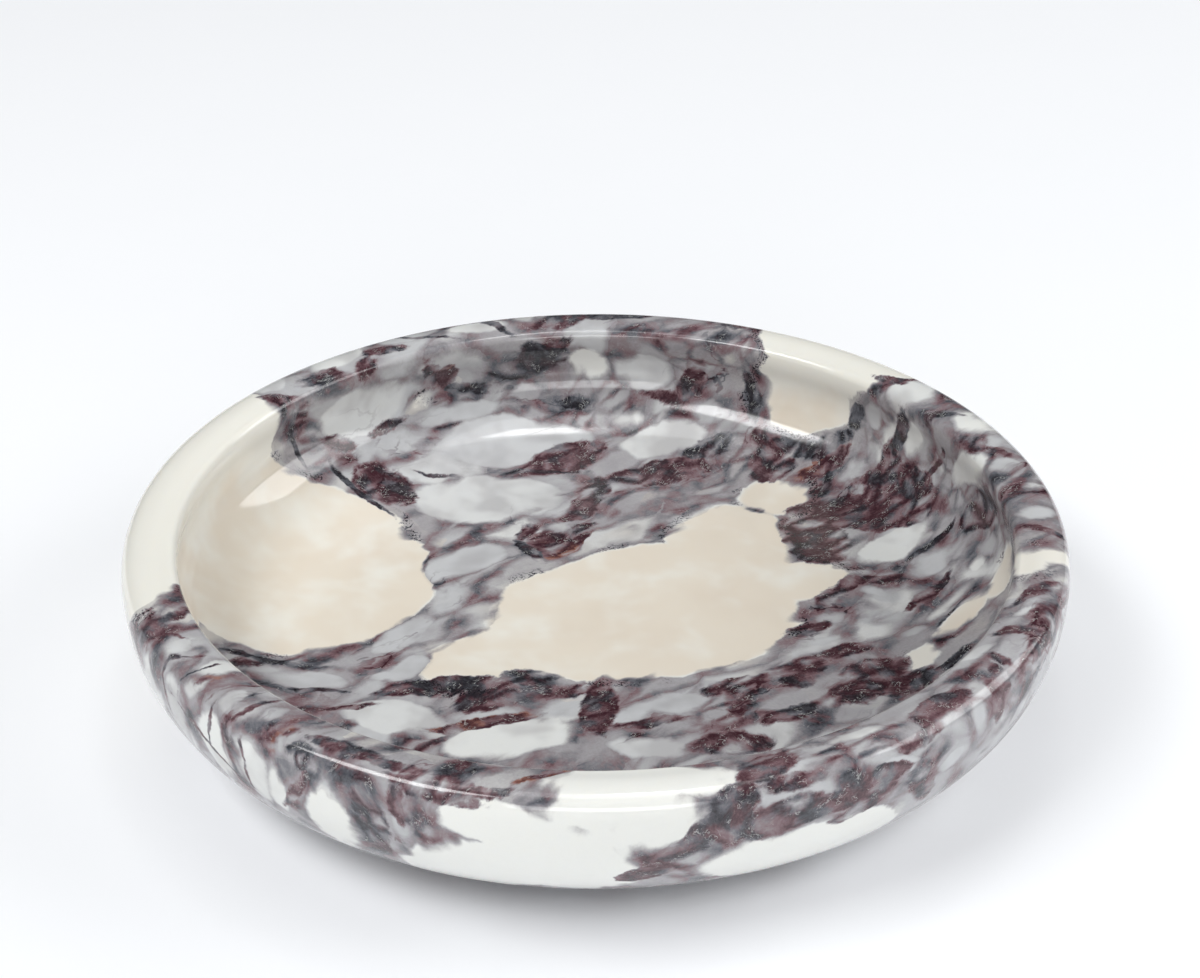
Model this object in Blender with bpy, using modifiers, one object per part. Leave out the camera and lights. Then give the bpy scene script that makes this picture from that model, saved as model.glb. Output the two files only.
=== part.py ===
"""Catchall bowl: a shallow dish turned from one block of veined marble, on four
self-adhesive anti-slip pads. Metres, +Z up; the origin is the middle of the
circle that the pads stand on, so z = 0 is the table."""

import math

import bmesh
import bpy

MM = 0.001

# Driving dimensions of the whole bowl
outer_radius = 75.0 * MM
overall_height = 29.0 * MM

# Rim: a nearly flat band between a soft outer shoulder and a tight inner edge
shoulder_width = 4.5 * MM
shoulder_depth = 4.9 * MM
rim_width = 8.8 * MM
lip_drop = 0.5 * MM
lip_edge_round = 1.3 * MM

# Inside: the wall leans back under the lip, then sweeps down to a flat floor
undercut_depth = 1.3 * MM
undercut_drop = 8.5 * MM
floor_radius = 45.0 * MM
floor_thickness = 6.5 * MM

# Underside: a flat honed disc with an eased edge, and the pads stuck to it
base_radius = 47.0 * MM
base_edge_ease = 0.6 * MM
pad_radius = 5.0 * MM
pad_thickness = 1.75 * MM
pad_edge_round = 0.7 * MM
pad_margin = 6.0 * MM
adhesive_thickness = 0.3 * MM

# How far each curve's handles reach, as shares of the corner that it rounds
shoulder_side_share = 0.82
shoulder_top_share = 0.76
outer_sweep_side_share = 0.55
outer_sweep_base_share = 0.66
inner_sweep_floor_share = 0.62
inner_sweep_side_share = 0.60
undercut_share = 0.45
band_share = 0.35
edge_round_share = 0.5523
base_edge_rise_share = 0.35

# Counts
pad_count = 4
turn_steps = 96
pad_sides = 24
edge_segments = 4
inner_sweep_segments = 11
undercut_segments = 4
band_segments = 3
shoulder_segments = 8
outer_wall_segments = 12

# Places that follow from the sizes
crest_radius = outer_radius - shoulder_width
mouth_radius = outer_radius - rim_width
widest_height = overall_height - shoulder_depth
base_height = pad_thickness + adhesive_thickness
floor_height = base_height + floor_thickness
lip_height = overall_height - lip_drop
undercut_radius = mouth_radius + undercut_depth
undercut_height = overall_height - undercut_drop
pad_circle_radius = base_radius - pad_radius - pad_margin

MARBLE_COLOUR = (0.71, 0.66, 0.62, 1.0)
MARBLE_ROUGHNESS = 0.12
PAD_COLOUR = (0.78, 0.80, 0.80, 1.0)
PAD_ROUGHNESS = 0.42


def clear_scene():
    for old in list(bpy.data.objects):
        bpy.data.objects.remove(old, do_unlink=True)


def plain_material(name, colour, roughness):
    material = bpy.data.materials.new(name)
    material.use_nodes = True
    shader = material.node_tree.nodes["Principled BSDF"]
    shader.inputs["Base Color"].default_value = colour
    shader.inputs["Roughness"].default_value = roughness
    shader.inputs["Metallic"].default_value = 0.0
    material.diffuse_color = colour
    return material


def curve_points(start, first_handle, last_handle, end, steps):
    """The points of a cubic curve after its start, each a pair (radius, height)."""
    points = []
    for step in range(1, steps + 1):
        t = step / steps
        s = 1.0 - t
        weights = (s * s * s, 3 * s * s * t, 3 * s * t * t, t * t * t)
        corners = (start, first_handle, last_handle, end)
        radius = sum(w * c[0] for w, c in zip(weights, corners))
        height = sum(w * c[1] for w, c in zip(weights, corners))
        points.append((radius, height))
    return points


def inner_wall():
    """From the edge of the flat floor up to the bottom of the lip's inner edge."""
    floor_edge = (floor_radius, floor_height)
    widest = (undercut_radius, undercut_height)
    run = undercut_radius - floor_radius
    rise = undercut_height - floor_height
    sweep = curve_points(
        floor_edge,
        (floor_radius + inner_sweep_floor_share * run, floor_height),
        (undercut_radius, undercut_height - inner_sweep_side_share * rise),
        widest,
        inner_sweep_segments,
    )
    lip_foot = (mouth_radius, lip_height - lip_edge_round)
    climb = lip_foot[1] - undercut_height
    lean = curve_points(
        widest,
        (undercut_radius, undercut_height + undercut_share * climb),
        (mouth_radius, lip_foot[1] - undercut_share * climb),
        lip_foot,
        undercut_segments,
    )
    return sweep + lean


def rim():
    """Over the lip: its tight inner edge, the crowned band and the soft shoulder."""
    lip_foot = (mouth_radius, lip_height - lip_edge_round)
    band_start = (mouth_radius + lip_edge_round, lip_height)
    reach = edge_round_share * lip_edge_round
    edge = curve_points(
        lip_foot,
        (mouth_radius, lip_foot[1] + reach),
        (band_start[0] - reach, lip_height),
        band_start,
        edge_segments,
    )
    crest = (crest_radius, overall_height)
    band_width = crest_radius - band_start[0]
    band = curve_points(
        band_start,
        (band_start[0] + band_share * band_width, lip_height + band_share * lip_drop),
        (crest_radius - band_share * band_width, overall_height),
        crest,
        band_segments,
    )
    widest = (outer_radius, widest_height)
    shoulder = curve_points(
        crest,
        (crest_radius + shoulder_top_share * shoulder_width, overall_height),
        (outer_radius, widest_height + shoulder_side_share * shoulder_depth),
        widest,
        shoulder_segments,
    )
    return edge + band + shoulder


def outer_wall():
    """From the widest ring down and in to the eased edge of the flat base."""
    widest = (outer_radius, widest_height)
    foot = (
        base_radius + base_edge_ease,
        base_height + base_edge_rise_share * base_edge_ease,
    )
    run = outer_radius - foot[0]
    drop = widest_height - foot[1]
    return curve_points(
        widest,
        (outer_radius, widest_height - outer_sweep_side_share * drop),
        (foot[0] + outer_sweep_base_share * run, foot[1]),
        foot,
        outer_wall_segments,
    )


def bowl_profile():
    """Half the bowl's section, from the middle of the floor over the lip and down
    the outside to the middle of the base."""
    points = [(0.0, floor_height), (floor_radius, floor_height)]
    points += inner_wall()
    points += rim()
    points += outer_wall()
    points += [(base_radius, base_height), (0.0, base_height)]
    return points


def turned_object(name, profile, steps, material):
    """A closed solid of revolution: the profile is a chain of edges at +X, which a
    Screw modifier turns once round Z."""
    mesh = bpy.data.meshes.new(name)
    shape = bmesh.new()
    chain = [shape.verts.new((radius, 0.0, height)) for radius, height in profile]
    for first, second in zip(chain, chain[1:]):
        shape.edges.new((first, second))
    shape.to_mesh(mesh)
    shape.free()
    mesh.materials.append(material)
    turned = bpy.data.objects.new(name, mesh)
    lathe = turned.modifiers.new("turn", "SCREW")
    lathe.axis = "Z"
    lathe.angle = 2.0 * math.pi
    lathe.steps = steps
    lathe.render_steps = steps
    lathe.use_merge_vertices = True
    lathe.merge_threshold = 0.01 * MM
    lathe.use_smooth_shade = True
    return turned


def pad_mesh(material):
    """A moulded disc with a rounded lower edge and a flat face to stand on."""
    mesh = bpy.data.meshes.new("foot_pad")
    shape = bmesh.new()
    bmesh.ops.create_cone(
        shape,
        cap_ends=True,
        segments=pad_sides,
        radius1=pad_radius,
        radius2=pad_radius,
        depth=pad_thickness,
    )
    lower_edge = [
        edge
        for edge in shape.edges
        if all(vertex.co.z < 0.0 for vertex in edge.verts)
    ]
    bmesh.ops.bevel(
        shape,
        geom=lower_edge,
        offset=pad_edge_round,
        offset_type="OFFSET",
        segments=edge_segments,
        profile=0.5,
        affect="EDGES",
    )
    bmesh.ops.translate(shape, verts=shape.verts, vec=(0.0, 0.0, pad_thickness / 2.0))
    shape.to_mesh(mesh)
    shape.free()
    mesh.materials.append(material)
    mesh.shade_smooth()
    mesh.set_sharp_from_angle(angle=math.radians(40.0))
    return mesh


def main():
    clear_scene()
    collection = bpy.data.collections.new("catchall_bowl")
    bpy.context.scene.collection.children.link(collection)

    whole = bpy.data.objects.new("catchall_bowl", None)
    whole.empty_display_size = outer_radius
    collection.objects.link(whole)

    marble = plain_material("veined_marble", MARBLE_COLOUR, MARBLE_ROUGHNESS)
    bowl = turned_object("stone_bowl", bowl_profile(), turn_steps, marble)
    bowl.parent = whole
    collection.objects.link(bowl)

    silicone = plain_material("clear_silicone", PAD_COLOUR, PAD_ROUGHNESS)
    shared_pad = pad_mesh(silicone)
    for number in range(pad_count):
        angle = 2.0 * math.pi * (number + 0.5) / pad_count
        pad = bpy.data.objects.new(f"foot_pad_{number + 1}", shared_pad)
        pad.location.x = pad_circle_radius * math.cos(angle)
        pad.location.y = pad_circle_radius * math.sin(angle)
        pad.parent = whole
        collection.objects.link(pad)

    print(f"wall at the mouth: {1000 * (outer_radius - mouth_radius):.1f} mm")
    print(f"depth inside: {1000 * (overall_height - floor_height):.1f} mm")


main()
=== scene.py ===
# %% [markdown]
# # A catchall bowl turned from veined marble
#
# The real object is one block of natural stone, turned on a lathe and polished, with four stick-on pads
# under it. So the lesson is short on pieces and long on finish: nearly all that the eye sees is the pattern
# of the stone and the way its polish catches the light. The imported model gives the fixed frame, in metres,
# and everything made here stays inside it.

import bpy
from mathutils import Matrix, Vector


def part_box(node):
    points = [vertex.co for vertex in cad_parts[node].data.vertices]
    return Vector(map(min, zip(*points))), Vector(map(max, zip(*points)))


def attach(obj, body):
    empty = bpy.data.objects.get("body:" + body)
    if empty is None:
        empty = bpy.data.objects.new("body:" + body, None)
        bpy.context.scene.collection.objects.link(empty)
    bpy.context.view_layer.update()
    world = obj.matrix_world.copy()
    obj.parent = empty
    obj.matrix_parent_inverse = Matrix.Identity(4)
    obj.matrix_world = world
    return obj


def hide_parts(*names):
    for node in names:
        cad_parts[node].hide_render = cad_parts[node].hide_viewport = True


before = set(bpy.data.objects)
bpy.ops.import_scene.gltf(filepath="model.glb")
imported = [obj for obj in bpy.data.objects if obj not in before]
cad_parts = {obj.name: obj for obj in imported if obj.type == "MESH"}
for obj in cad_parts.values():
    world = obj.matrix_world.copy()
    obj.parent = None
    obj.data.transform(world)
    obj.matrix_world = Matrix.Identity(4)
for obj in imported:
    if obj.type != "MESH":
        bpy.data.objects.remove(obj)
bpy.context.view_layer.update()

# %% [markdown]
# ## Sizes
#
# The outside sizes are read from the frame, so the stone always fits it. The sizes of the section, such as
# the width of the rim, are the ones that the part was turned to. One unit of scale keeps the numbers
# readable: stone workers think in millimetres, Blender in metres.

# %% Sizes of the bowl
import math
from types import SimpleNamespace

import bmesh
import bpy
from mathutils import Matrix, Vector

MM = 0.001

bowl_low, bowl_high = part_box("stone_bowl")
pad_low, pad_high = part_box("foot_pad_1")

outer_radius = bowl_high.x
top_height = bowl_high.z
base_height = bowl_low.z
pad_top = pad_high.z

shoulder_width = 4.5 * MM
shoulder_depth = 4.9 * MM
rim_width = 8.8 * MM
lip_drop = 0.5 * MM
lip_edge_round = 1.3 * MM
undercut_depth = 1.3 * MM
undercut_drop = 8.5 * MM
floor_radius = 45.0 * MM
floor_thickness = 6.5 * MM
base_radius = 47.0 * MM
base_edge_ease = 0.6 * MM

crest_radius = outer_radius - shoulder_width
mouth_radius = outer_radius - rim_width
widest_height = top_height - shoulder_depth
floor_height = base_height + floor_thickness
lip_height = top_height - lip_drop
undercut_radius = mouth_radius + undercut_depth
undercut_height = top_height - undercut_drop
print(f"outer radius {outer_radius / MM:.1f} mm, depth inside {(top_height - floor_height) / MM:.1f} mm")

# %% [markdown]
# ## The section of the bowl
#
# A turned shape is fully told by half of its section. It is drawn here as a chain of cubic curves, whose
# handles give each stretch its fullness: a concave sweep up from the flat floor, a wall that leans back
# under the lip, a tight inner edge, a nearly flat band, a soft shoulder, and a long curve down to the base.
# A list of many measured points would give the same outline, but nobody could tune it. The steps are short,
# about half a millimetre on the rim, because a polished edge shows every facet in its highlight.

# %% Fullness and steps of each stretch
sweep_floor_share = 0.62
sweep_side_share = 0.60
lean_share = 0.45
round_share = 0.5523
band_share = 0.35
shoulder_top_share = 0.76
shoulder_side_share = 0.82
wall_side_share = 0.55
wall_base_share = 0.66
ease_rise_share = 0.35

floor_steps = 38
sweep_steps = 36
lean_steps = 12
edge_steps = 9
band_steps = 5
shoulder_steps = 20
wall_steps = 44
ease_steps = 2
base_steps = 24


# %% Draw the half section
def curve_points(start, first_handle, last_handle, end, steps):
    """The points of a cubic curve after its start, each a pair (radius, height)."""
    points = []
    for step in range(1, steps + 1):
        t = step / steps
        s = 1.0 - t
        weights = (s * s * s, 3 * s * s * t, 3 * s * t * t, t * t * t)
        corners = (start, first_handle, last_handle, end)
        radius = sum(w * c[0] for w, c in zip(weights, corners))
        height = sum(w * c[1] for w, c in zip(weights, corners))
        points.append((radius, height))
    return points


def straight_points(start, end, steps):
    """The points of a straight run after its start."""
    pairs = []
    for step in range(1, steps + 1):
        t = step / steps
        pairs.append((start[0] + t * (end[0] - start[0]), start[1] + t * (end[1] - start[1])))
    return pairs


def beside(point, run, rise):
    """The pair (radius, height) at some distance from a point."""
    return (point[0] + run, point[1] + rise)


floor_centre = (0.0, floor_height)
floor_edge = (floor_radius, floor_height)
inner_widest = (undercut_radius, undercut_height)
lip_foot = (mouth_radius, lip_height - lip_edge_round)
band_start = (mouth_radius + lip_edge_round, lip_height)
crest = (crest_radius, top_height)
outer_widest = (outer_radius, widest_height)
base_edge = (base_radius, base_height)
wall_foot = beside(base_edge, base_edge_ease, ease_rise_share * base_edge_ease)
base_centre = (0.0, base_height)

sweep_leave = (sweep_floor_share * (undercut_radius - floor_radius), 0.0)
sweep_arrive = (0.0, -sweep_side_share * (undercut_height - floor_height))
lean_reach = lean_share * (lip_foot[1] - undercut_height)
edge_reach = round_share * lip_edge_round
band_reach = band_share * (crest_radius - band_start[0])
band_leave = (band_reach, band_share * lip_drop)
shoulder_leave = (shoulder_top_share * shoulder_width, 0.0)
shoulder_arrive = (0.0, shoulder_side_share * shoulder_depth)
wall_leave = (0.0, -wall_side_share * (widest_height - wall_foot[1]))
wall_arrive = (wall_base_share * (outer_radius - wall_foot[0]), 0.0)

# For each curve: where it starts, how it leaves, how it arrives, where it ends, and its steps
curves = [
    (floor_edge, sweep_leave, sweep_arrive, inner_widest, sweep_steps),
    (inner_widest, (0.0, lean_reach), (0.0, -lean_reach), lip_foot, lean_steps),
    (lip_foot, (0.0, edge_reach), (-edge_reach, 0.0), band_start, edge_steps),
    (band_start, band_leave, (-band_reach, 0.0), crest, band_steps),
    (crest, shoulder_leave, shoulder_arrive, outer_widest, shoulder_steps),
    (outer_widest, wall_leave, wall_arrive, wall_foot, wall_steps),
]

section = [floor_centre]
section += straight_points(floor_centre, floor_edge, floor_steps)
for start, leave, arrive, end, steps in curves:
    section += curve_points(start, beside(start, *leave), beside(end, *arrive), end, steps)
section += straight_points(wall_foot, base_edge, ease_steps)
section += straight_points(base_edge, base_centre, base_steps)
print(len(section), "points in the half section")

# %% [markdown]
# ## Turning it with Geometry Nodes
#
# The Screw modifier would turn this section too. A node tree does it here because the rule can be read off
# it: a flat grid, one row for each point of the section and one column for each step round, is rolled up
# about the axis. Each grid point looks up its radius and height in the section by its row, and its angle
# by its column. The last column meets the first and the rows at the axis shrink to a point, so a merge
# closes the seam and the two poles.


# %% Helpers for building node trees
def put(tree, kind, inputs=None, **settings):
    """Adds a node. Settings are its own properties. An input is a value, a socket to link from, or a node
    to link from by its first output."""
    made = tree.nodes.new(kind)
    for name, value in settings.items():
        setattr(made, name, value)
    for key, value in (inputs or {}).items():
        if isinstance(value, bpy.types.Node):
            value = value.outputs[0]
        if isinstance(value, bpy.types.NodeSocket):
            tree.links.new(value, made.inputs[key])
        else:
            made.inputs[key].default_value = value
    return made


def maths(tree, operation, *values, clamp=False):
    """One Math node, and its result."""
    made = put(tree, "ShaderNodeMath", dict(enumerate(values)), operation=operation, use_clamp=clamp)
    return made.outputs[0]


def vectors(tree, operation, *values):
    """One Vector Math node, and its vector result."""
    made = put(tree, "ShaderNodeVectorMath", dict(enumerate(values)), operation=operation)
    return made.outputs["Vector"]


def vector_number(tree, operation, *values):
    """One Vector Math node whose result is a number, such as a length."""
    made = put(tree, "ShaderNodeVectorMath", dict(enumerate(values)), operation=operation)
    return made.outputs["Value"]


def new_tree(name, kind, takes, gives):
    """A node group whose sockets two dicts name, such as {"Point": "Vector"}, and what it is given."""
    tree = bpy.data.node_groups.new(name, kind)
    for in_out, named in (("INPUT", takes), ("OUTPUT", gives)):
        for socket, of_type in named.items():
            tree.interface.new_socket(socket, in_out=in_out, socket_type="NodeSocket" + of_type)
    return tree, put(tree, "NodeGroupInput").outputs


def lay_out(tree, stack=14, across=190, down=170):
    """Spreads the nodes on a grid, so that the tree can be opened and read."""
    for index, found in enumerate(tree.nodes):
        found.location = (across * (index // stack), -down * (index % stack))


# %% The lathe: a tree that turns any half section
def real_mesh_out(tree, geometry, finish, socket):
    """Ends a Geometry Nodes tree in real meshes with their material, as an export needs them."""
    real = put(tree, "GeometryNodeRealizeInstances", {"Geometry": geometry})
    finished = put(tree, "GeometryNodeSetMaterial", {"Geometry": real, "Material": finish})
    put(tree, "NodeGroupOutput", {socket: finished})
    lay_out(tree)


def lathe_tree():
    tree, given = new_tree(
        "lathe",
        "GeometryNodeTree",
        {
            "Section": "Geometry",
            "Steps round": "Int",
            "Points in section": "Int",
            "Weld distance": "Float",
            "Finish": "Material",
        },
        {"Turned": "Geometry"},
    )
    tree.is_modifier = True

    columns = maths(tree, "ADD", given["Steps round"], 1.0)
    rows = given["Points in section"]
    sockets = {"Size X": 1.0, "Size Y": 1.0, "Vertices X": columns, "Vertices Y": rows}
    grid = put(tree, "GeometryNodeMeshGrid", sockets)
    place = put(tree, "ShaderNodeSeparateXYZ", {0: put(tree, "GeometryNodeInputPosition")}).outputs
    turn = maths(tree, "MULTIPLY", maths(tree, "ADD", place["X"], 0.5), -2.0 * math.pi)
    last = maths(tree, "SUBTRACT", rows, 1.0)
    row = maths(tree, "ROUND", maths(tree, "MULTIPLY", maths(tree, "ADD", place["Y"], 0.5), last))

    point = put(tree, "GeometryNodeInputPosition")
    sockets = {"Geometry": given["Section"], "Value": point, "Index": row}
    looked_up = put(tree, "GeometryNodeSampleIndex", sockets, data_type="FLOAT_VECTOR")
    radius, _, height = put(tree, "ShaderNodeSeparateXYZ", {0: looked_up}).outputs
    across = maths(tree, "MULTIPLY", radius, maths(tree, "COSINE", turn))
    along = maths(tree, "MULTIPLY", radius, maths(tree, "SINE", turn))
    rolled = put(tree, "ShaderNodeCombineXYZ", {"X": across, "Y": along, "Z": height})

    moved = put(tree, "GeometryNodeSetPosition", {"Geometry": grid, "Position": rolled})
    sockets = {"Geometry": moved, "Distance": given["Weld distance"]}
    welded = put(tree, "GeometryNodeMergeByDistance", sockets)
    smooth = put(tree, "GeometryNodeSetShadeSmooth", {"Geometry": welded})
    real_mesh_out(tree, smooth, given["Finish"], "Turned")
    return tree


lathe = lathe_tree()
print("lathe tree:", len(lathe.nodes), "nodes")

# %% From a tree to a plain mesh
weld_distance = 0.002 * MM


def add_tree(piece, tree, values):
    """A Geometry Nodes modifier. Its inputs are set by socket identifier, looked up by name here."""
    made = piece.modifiers.new(tree.name, "NODES")
    made.node_group = tree
    for item in tree.interface.items_tree:
        if item.item_type == "SOCKET" and item.in_out == "INPUT" and item.name in values:
            made[item.identifier] = values[item.name]


def on_the_lathe(name, points, steps, finish):
    """The half section as a chain of edges in the XZ plane, with the lathe on it."""
    mesh = bpy.data.meshes.new(name)
    mesh.from_pydata(
        [(radius, 0.0, height) for radius, height in points],
        [(index, index + 1) for index in range(len(points) - 1)],
        [],
    )
    chain = bpy.data.objects.new(name + "_section", mesh)
    bpy.context.scene.collection.objects.link(chain)
    add_tree(
        chain,
        lathe,
        {
            "Steps round": steps,
            "Points in section": len(points),
            "Weld distance": weld_distance,
            "Finish": finish,
        },
    )
    return chain


def plain_mesh(source, name):
    """Evaluates the source object, keeps the result as a plain mesh object, and removes the source."""
    graph = bpy.context.evaluated_depsgraph_get()
    mesh = bpy.data.meshes.new_from_object(source.evaluated_get(graph))
    mesh.name = name
    bpy.data.objects.remove(source, do_unlink=True)
    made = bpy.data.objects.new(name, mesh)
    bpy.context.scene.collection.objects.link(made)
    return made


def report(piece):
    """Prints the triangles, the open edges and the volume of a piece; the volume is negative inside out."""
    shape = bmesh.new()
    shape.from_mesh(piece.data)
    open_edges = sum(1 for edge in shape.edges if len(edge.link_faces) != 2)
    volume = shape.calc_volume(signed=True)
    triangles = sum(len(face.verts) - 2 for face in shape.faces)
    shape.free()
    print(f"{piece.name}: {triangles} triangles, {open_edges} open edges, {volume * 1e6:.2f} cm3")


# %% [markdown]
# ## The stone
#
# This is a breccia marble: pale pieces of older stone, the clasts, that were crushed, stretched one way and
# glued together again by a dark wine-red and slate-grey matrix. The pattern goes through the whole block, so
# it is made in three dimensions on Object coordinates and never wraps like a print: a clast that crosses
# the rim shows on the inside, on the band and on the outer wall.
#
# A Voronoi texture alone makes cells of one size, which real breccia never has. So the large clasts are
# placed one by one, as stretched spheres, and only the small ones between them are random.


# %% Colours of the stone
def linear(red, green, blue):
    """A colour as seen on a screen, 0 to 255, as the linear values that a shader takes."""
    made = []
    for value in (red, green, blue):
        share = value / 255.0
        made.append(share / 12.92 if share <= 0.04045 else ((share + 0.055) / 1.055) ** 2.4)
    return (*made, 1.0)


CREAM = linear(221, 213, 199)
PEACH = linear(216, 206, 191)
# The pearl is the cream's cool tone, and also its painted sheen near the rim
PEARL_AND_SHEEN = linear(228, 227, 219)
MILK = linear(226, 228, 225)
CLOUD = linear(191, 193, 195)
HAZE = linear(150, 147, 150)
ROSE_GREY = linear(120, 95, 100)
STEEL = linear(94, 96, 103)
WINE = linear(60, 34, 41)
SLATE = linear(36, 34, 39)
RUST = linear(142, 98, 86)
print("the stone's colours run from", SLATE[:3], "to", PEARL_AND_SHEEN[:3])

# %% [markdown]
# ### Where on the surface a shape sits
#
# Clasts and veins meet the surface where the maker puts them. On the floor and on the band of the rim the
# easy way to say where is from above, by x and y. On the walls it is by azimuth and height, as someone would
# who walks round the bowl. Both ways give the same three things: the middle, three axes, and the half size
# along each. All of it is in millimetres and degrees, azimuths are counted from +X, and the picture was
# taken from azimuth -90.

# %% Depth of a shape in the stone
slope_start, slope_end = 56.0, 66.0
least_vein_height, least_clast_height = 2.5, 5.0
least_vein_depth, least_clast_depth = 2.0, 4.0
height_share, depth_share = 0.9, 0.7


# %% Two ways to place a shape
def inner_height(radius):
    """Height in mm of the inner surface above a circle, or of the band of the rim beyond the mouth."""
    if radius >= mouth_radius / MM:
        return lip_height / MM
    return next(height / MM for reach, height in section if reach / MM >= radius)


def from_above(x, y, half_length, half_width, heading, thin):
    """A shape that is seen in plan; heading is in degrees from +X. It is taller on the sloping wall."""
    radius = math.hypot(x, y)
    least = least_vein_height if thin else least_clast_height
    if slope_start < radius < slope_end:
        least *= 2.0
    half_height = max(least, height_share * half_width)
    middle = Vector((x, y, inner_height(radius)))
    axes = Matrix.Rotation(math.radians(heading), 3, "Z")
    return middle, axes, (half_length, half_width, half_height)


def wall_point(height, outside):
    """Radius in mm of the wall at a height, and the direction up along it."""
    top = section.index(crest)
    chain = section[top:] if outside else section[:top]
    near = min(range(1, len(chain) - 1), key=lambda i: abs(chain[i][1] / MM - height))
    run = chain[near + 1][0] - chain[near - 1][0]
    rise = chain[near + 1][1] - chain[near - 1][1]
    upward = Vector((run, 0.0, rise)).normalized()
    return chain[near][0] / MM, -upward if rise < 0.0 else upward


def on_the_wall(azimuth, height, half_width, half_height, lean, thin, outside):
    """A shape on a wall; it leans clockwise, in degrees, for someone who faces that wall."""
    radius, upward = wall_point(height, outside)
    spin = Matrix.Rotation(math.radians(azimuth), 3, "Z")
    up = spin @ upward
    across = spin @ Vector((0.0, 1.0 if outside else -1.0, 0.0))
    angle = math.radians(lean)
    long_axis = up * math.cos(angle) + across * math.sin(angle)
    cross_axis = across * math.cos(angle) - up * math.sin(angle)
    axes = Matrix((cross_axis, long_axis, long_axis.cross(cross_axis))).transposed()
    least = least_vein_depth if thin else least_clast_depth
    half_depth = max(least, depth_share * min(half_width, half_height))
    return spin @ Vector((radius, 0.0, height)), axes, (half_width, half_height, half_depth)


def spheres(above, inside, outside, thin):
    """The stretched spheres of rows from above, rows on the inner wall and rows on the outer wall."""
    made = [from_above(*row, thin) for row in above]
    made += [on_the_wall(*row, thin, outside=False) for row in inside]
    made += [on_the_wall(*row, thin, outside=True) for row in outside]
    return made


def one_by_one(above, inside, outside, thin):
    """Three tables of single spheres, whose rows start with a tone, as pairs (tone, spheres)."""
    made = [(tone, spheres([row], [], [], thin)) for tone, *row in above]
    made += [(tone, spheres([], [row], [], thin)) for tone, *row in inside]
    made += [(tone, spheres([], [], [row], thin)) for tone, *row in outside]
    return made


def shapes_sum(shapes):
    """How many shapes there are, and of how many spheres."""
    return f"{len(shapes)} shapes of {sum(len(made) for tone, made in shapes)} spheres"


# %% [markdown]
# ### Clasts placed one by one
#
# A sphere seen from above is a row of x, y, half length, half width and heading. One on a wall is a row of
# azimuth, height, half width, half height and lean. A number before them is the clast's tone: 0 for warm
# cream, 0.5 for milk white and 1 for a cold, half-transparent grey. Most clasts are about twice as long as
# wide and point the same way, about 37 degrees, because the whole rock was stretched in that direction. A
# clast of an odd shape takes several spheres. Those come first, each with its spheres from above, on the
# inner wall and on the outer wall. All the others are one sphere each.

# %% The clasts of several spheres
flow_heading = 37.0

large_clasts = [
    # the large cream ones: left, middle and back right
    (
        0.05,
        [(-52, 16, 26, 25, 0), (-71, 1, 10, 30, 5), (-62, 28, 14, 20, 40)],
        [],
        [(-172, 18, 20, 15, 0)],
    ),
    (0.10, [(8, 4, 27, 21, 15), (24, 24, 12, 16, 0), (34, 13, 10, 7, 8), (-14, -8, 17, 9, 35)], [], []),
    (0.05, [(44, 57, 19, 9, -40)], [(56, 21, 11, 8, 0)], []),
    # on the right: two inside the bowl and one on the band of the rim
    (0.47, [(58, 4.2, 9, 2.4, 44), (63, 10.5, 4.5, 2, 62)], [], []),
    (0.22, [(59.5, -2.2, 8.5, 3.4, 50)], [(3, 16, 3.8, 7, -42)], []),
    (0.30, [(66.5, -12.5, 6.2, 4.4, -80), (70, -11, 4.8, 3.6, 0)], [], []),
    # the white one at the front, which goes over the rim
    (
        0.42,
        [(6, -70, 16, 6, 4)],
        [],
        [
            (-94, 18, 14, 11, 30),
            (-104, 14, 13, 9, 0),
            (-85, 25, 11, 5, 0),
            (-101, 25, 12, 4.5, 0),
            (-88, 27.5, 14, 4, 0),
        ],
    ),
]
print(len(large_clasts), "clasts of several spheres")

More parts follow.
